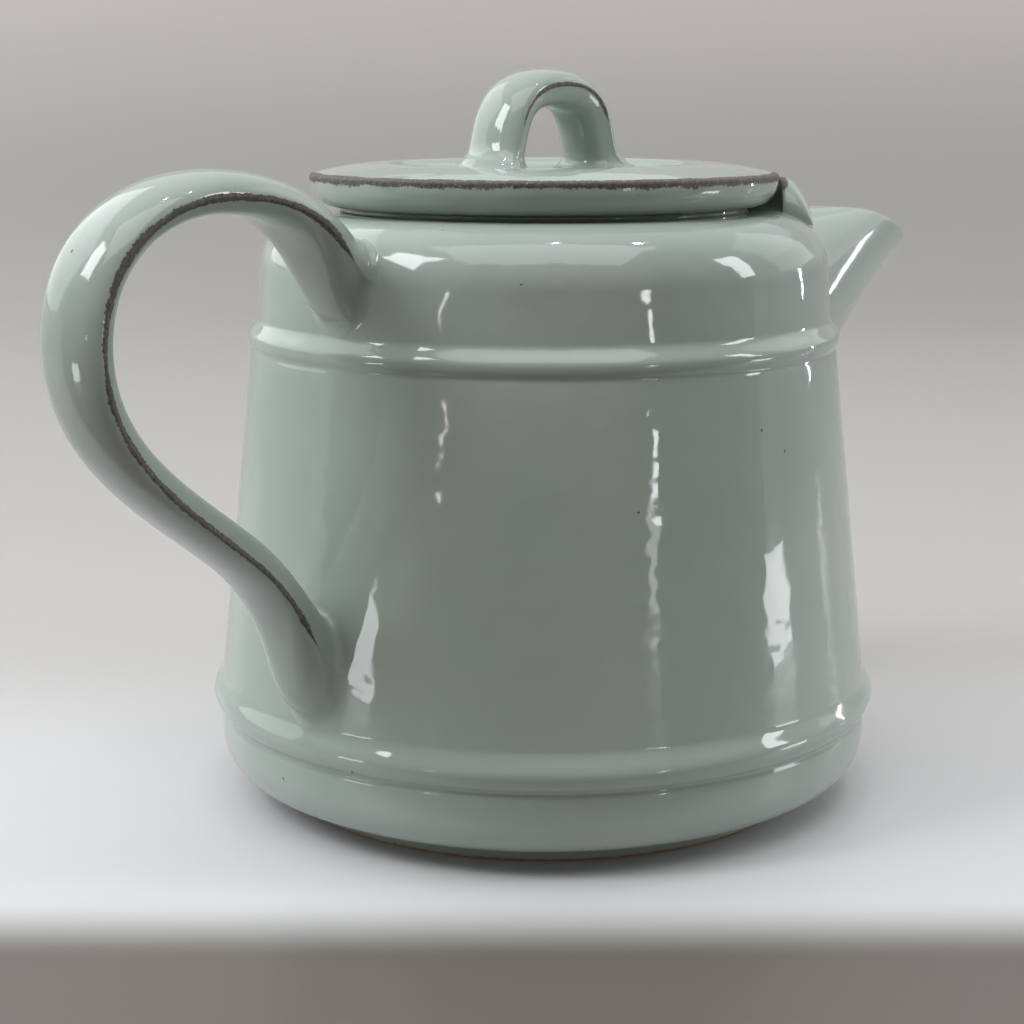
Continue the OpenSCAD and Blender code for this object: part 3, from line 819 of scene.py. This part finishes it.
def glaze_material(name, worn=False, bare_below=None, bare_above=None, seed=0.0, ripple=0.35):
    """Glossy sage glaze, with ripples of that depth in mm. worn adds the rubbed line along an
    arris; bare_below and bare_above (mm) leave the clay bare under or over that height."""
    mat, tree, bsdf = nodes_of(name)
    g = Graph(tree)
    cloud = g.noise(14.0, 3.0, 0.55, (seed, 0, 0))
    runs = g.noise(30.0, 2.0, 0.5, (0, seed, 0), (1, 1, 0.22))
    fine = g.noise(700.0, 2.0, 0.6, (0, 0, seed))
    colour = g.mix(g.step(cloud, 0.35, 0.68), SAGE_DEEP, SAGE)
    colour = g.mix(g.step(runs, 0.50, 0.72, 0.0, 0.45), colour, SAGE_THIN)
    colour = g.mix(g.step(fine, 0.30, 0.75, 0.0, 0.16), colour, SAGE_DEEP)
    pits = g.dots(66.0, 0.28, (seed + 0.013, 0.4, 0.2))
    colour = g.mix(pits, colour, PIT)
    smooth = g.step(cloud, 0.3, 0.7, 0.045, 0.085)
    height = g.math("ADD", g.noise(60.0, 2.0, 0.5, (seed, seed, 0)),
                    g.math("MULTIPLY", g.noise(240.0, 1.0, 0.5), 0.12))
    normal = g.bump(height, ripple)
    normal = g.bump(g.math("MULTIPLY", pits, -1.0), 0.2, normal)
    rough = g.math("ADD", smooth, g.math("MULTIPLY", pits, 0.4))
    if worn:
        ragged = g.math("SUBTRACT", g.noise(1500.0, 4.0, 0.62, (0, 0, seed)), 0.5)
        broad = g.math("SUBTRACT", g.noise(150.0, 2.0, 0.5, (seed, 0, 0)), 0.5)
        wear = g.attribute("wear")
        reach = g.math("MULTIPLY", wear, g.math("MULTIPLY_ADD", broad, 1.1, 1.0))
        reach = g.math("ADD", reach, g.math("MULTIPLY", ragged, g.math("MULTIPLY", wear, 1.5)))
        inside = g.math("SUBTRACT", reach, g.attribute("arris"))
        mask = g.step(inside, 0.0, 0.10)
        islands = g.dots(900.0, 0.16, (0.3, seed, 0))
        kept = g.math("MULTIPLY", islands, g.step(g.noise(300.0, 1.0), 0.5, 0.56))
        mask = g.math("MULTIPLY", mask, g.math("SUBTRACT", 1.0, kept))
        halo = g.math("MULTIPLY", g.step(inside, -0.45, 0.0), 0.40)
        body = g.mix(g.step(g.noise(1100.0, 3.0, 0.7, (0, seed, 0)), 0.35, 0.7),
                     BARE_DARK, BARE_BROWN)
        colour = g.mix(halo, colour, WORN_THIN)
        colour = g.mix(mask, colour, body)
        rough = g.math("ADD", g.math("MULTIPLY", rough, g.math("SUBTRACT", 1.0, mask)),
                       g.math("MULTIPLY", mask, 0.62))
        grain = g.math("MULTIPLY", g.noise(2200.0, 3.0, 0.6), g.math("MULTIPLY", mask, 0.5))
        normal = g.bump(g.math("SUBTRACT", grain, mask), 0.14, normal)
    if bare_below is not None or bare_above is not None:
        z = tree.nodes.new("ShaderNodeSeparateXYZ")
        g.put(z.inputs[0], g.place)
        limit, side = (bare_below, 1.0) if bare_above is None else (bare_above, -1.0)
        edge = g.math("MULTIPLY_ADD", g.noise(160.0, 3.0, 0.6), 0.55 * MM, limit * MM)
        inside = g.math("MULTIPLY", g.math("SUBTRACT", edge, z.outputs["Z"]), side / MM)
        bare = g.step(inside, 0.0, 0.10)
        clay = g.mix(g.step(g.noise(500.0, 4.0, 0.65), 0.35, 0.7), CLAY, CLAY_PALE)
        colour = g.mix(bare, colour, clay)
        rough = g.math("ADD", g.math("MULTIPLY", rough, g.math("SUBTRACT", 1.0, bare)),
                       g.math("MULTIPLY", bare, 0.8))
        normal = g.bump(g.math("MULTIPLY", bare, -1.0), 0.12, normal)
    g.put(bsdf.inputs["Base Color"], colour)
    g.put(bsdf.inputs["Roughness"], rough)
    g.put(bsdf.inputs["Normal"], normal)
    bsdf.inputs["IOR"].default_value = 1.52
    return mat


plain_glaze = glaze_material("sage_glaze_body")
spout_glaze = glaze_material("sage_glaze_spout", seed=0.19, ripple=0.06)
worn_glaze = glaze_material("sage_glaze_rubbed", worn=True, seed=0.37)
foot_glaze = glaze_material("sage_glaze_over_foot", bare_below=0.35, seed=0.61)
seat_glaze = glaze_material("sage_glaze_round_seat", bare_above=130.2, seed=0.83)

PIECES = [
    (pot, plain_glaze, "pot", ("pot_wall", "pot_floor"), "sage_glaze"),
    (foot, foot_glaze, "pot", ("foot_ring",), "bare_clay"),
    (seat, seat_glaze, "pot", ("mouth_rim",), "bare_clay"),
    (handle, worn_glaze, "pot", ("handle",), "sage_glaze"),
    (spout, spout_glaze, "pot", ("spout",), "sage_glaze"),
    (guard, worn_glaze, "pot", ("spout_guard",), "sage_glaze"),
    (lid, worn_glaze, "lid", ("lid",), "sage_glaze"),
    (collar, plain_glaze, "lid", ("lid_collar",), "sage_glaze"),
    (knob, worn_glaze, "lid", ("lid_knob",), "sage_glaze"),
]
for piece, material, body, nodes, slot in PIECES:
    piece.data.materials.clear()
    piece.data.materials.append(material)
    for node in nodes:
        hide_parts(node)
    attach(piece, body)


# ---------------------------------------------------------------- stage, light and camera
# Turn of the camera from the +Y direction, and the level direction in which it looks
VIEW_TURN = math.radians(48.12)
VIEW_AHEAD = (math.sin(VIEW_TURN), math.cos(VIEW_TURN))
SKY_DIM, SKY_BRIGHT = 0.17, 0.85  # on the camera's side, and behind the pot


def stage_floor_material():
    """Pale floor and cove, with painted shade: dark on the side where the camera stands, which cuts the
    light bounced onto the pot's front.
    """
    mat, tree, bsdf = nodes_of("pale_floor_with_painted_shade")
    g = Graph(tree)
    place = tree.nodes.new("ShaderNodeSeparateXYZ")
    g.put(place.inputs[0], g.place)
    ahead = g.math("ADD", g.math("MULTIPLY", place.outputs["X"], VIEW_AHEAD[0]),
                   g.math("MULTIPLY", place.outputs["Y"], VIEW_AHEAD[1]))
    floor = g.mix(g.step(g.noise(6.0, 3.0), 0.3, 0.7), (0.66, 0.655, 0.675), (0.64, 0.635, 0.655))
    back = g.mix(g.step(place.outputs["Z"], 0.05, 0.35), (0.48, 0.465, 0.455), (0.90, 0.87, 0.85))
    pale = g.mix(g.step(ahead, -0.05, 0.13), floor, back)
    # Painted shade: the floor on the camera's side turns dark, so that little light bounces up onto the
    # pot's heel and front
    far = g.mix(g.step(ahead, -0.3, -1.0), (0.13, 0.115, 0.10), (0.16, 0.148, 0.135))
    g.put(bsdf.inputs["Base Color"], g.mix(g.step(ahead, -0.080, -0.108), pale, far))
    bsdf.inputs["Roughness"].default_value = 0.38
    return mat


def make_floor():
    """A round level floor, in metres, that curves up all round into a cove."""
    radius, r = 1.9, 0.9
    prof = [(0.0, 0.0), (radius - r, 0.0)]
    prof += [(radius - r + r * math.sin(a), r - r * math.cos(a))
             for a in np.radians(np.linspace(7.5, 90, 12))]
    steps = 96
    verts, faces = [(0, 0, 0)], []
    for x, z in prof[1:]:
        for k in range(steps):
            a = 2 * math.pi * k / steps
            verts.append((x * math.cos(a), x * math.sin(a), z))
    for k in range(steps):
        faces.append((0, 1 + k, 1 + (k + 1) % steps))
    for i in range(len(prof) - 2):
        for k in range(steps):
            m = (k + 1) % steps
            a = 1 + i * steps
            faces.append((a + k, a + steps + k, a + steps + m, a + m))
    mesh = bpy.data.meshes.new("studio_floor")
    mesh.from_pydata(verts, [], faces)
    for p in mesh.polygons:
        p.use_smooth = True
    obj = bpy.data.objects.new("studio_floor", mesh)
    bpy.context.scene.collection.objects.link(obj)
    obj.data.materials.append(stage_floor_material())


make_floor()


def area_light(name, place, target, size, power, colour):
    data = bpy.data.lights.new(name, "AREA")
    data.shape = "RECTANGLE"
    data.size, data.size_y = size
    data.energy = power
    data.color = colour
    obj = bpy.data.objects.new(name, data)
    bpy.context.scene.collection.objects.link(obj)
    obj.location = place
    obj.rotation_euler = (Vector(target) - obj.location).to_track_quat("-Z", "Y").to_euler()
    return obj


def studio_world():
    """Soft sky that is bright behind the pot and dim on the camera's side."""
    world = bpy.data.worlds.new("studio")
    bpy.context.scene.world = world
    world.use_nodes = True
    tree = world.node_tree
    g = Graph(tree)
    way = tree.nodes.new("ShaderNodeSeparateXYZ")
    g.put(way.inputs[0], tree.nodes.new("ShaderNodeTexCoord").outputs["Generated"])
    ahead = g.math("ADD", g.math("MULTIPLY", way.outputs["X"], VIEW_AHEAD[0]),
                   g.math("MULTIPLY", way.outputs["Y"], VIEW_AHEAD[1]))
    sky = tree.nodes["Background"]
    g.put(sky.inputs["Strength"], g.step(ahead, -0.6, 0.5, SKY_DIM, SKY_BRIGHT))
    g.put(sky.inputs["Color"], g.mix(g.step(ahead, -0.6, 0.3), (1.0, 0.87, 0.73), (0.95, 0.975, 1.0)))


studio_world()


def window(name, turn, distance, height, size, radiance, colour=(0.96, 0.99, 1.0)):
    """A rectangular light that faces the pot, in metres. It is placed by its turn in degrees from
    the camera's side of the pot, to the right as the camera sees it. It is seen in the gloss but
    not by the camera."""
    a = math.radians(turn)
    right = (VIEW_AHEAD[1], -VIEW_AHEAD[0])
    x, y = (distance * (-VIEW_AHEAD[k] * math.cos(a) + right[k] * math.sin(a)) for k in (0, 1))
    power = radiance * math.pi * size[0] * size[1]
    light = area_light(name, (x, y, height), (0, 0, min(height, 0.1)), size, power, colour)
    light.visible_camera = False


window("window_left_back", -120, 1.3, 0.80, (1.5, 1.2), 1.5)
window("window_right_back", 122, 1.1, 0.65, (0.7, 0.8), 0.8)
window("window_left_high", -67, 0.8, 0.79, (0.34, 0.42), 11.0)
window("window_right_high", 84, 0.9, 0.50, (0.13, 0.44), 9.0)
window("window_left_low", -60.5, 0.41, 0.022, (0.07, 0.040), 6.5)
window("window_left_slit", -37.5, 0.96, 0.133, (0.022, 0.034), 16.0, (1.0, 0.94, 0.84))
window("window_right_slit", 38.6, 0.96, 0.106, (0.036, 0.048), 14.0)
window("window_right_slit_low", 37.5, 0.96, 0.042, (0.045, 0.080), 4.0)
window("window_right_low", 83.5, 0.40, 0.023, (0.08, 0.042), 6.5)
window("window_spout", 117.5, 1.0, 0.15, (0.026, 0.17), 18.0)
window("lamp_overhead", 119, 0.06, 1.1, (0.04, 0.04), 60.0)
window("lamp_aside", 104, 0.37, 1.1, (0.04, 0.04), 60.0)
window("ceiling_soft", 0, 0.50, 1.35, (1.4, 1.0), 2.05)

cam_data = bpy.data.cameras.new("camera")
cam_data.lens, cam_data.sensor_width = 72.2, 36.0
cam_data.clip_start, cam_data.clip_end = 0.01, 20.0
cam = bpy.data.objects.new("camera", cam_data)
bpy.context.scene.collection.objects.link(cam)
cam.location = (-0.3464, -0.3012, 0.1545)
cam.rotation_euler = Euler((math.radians(78.5), 0.0, -VIEW_TURN))
bpy.context.scene.camera = cam
bpy.context.scene.view_settings.view_transform = "Standard"
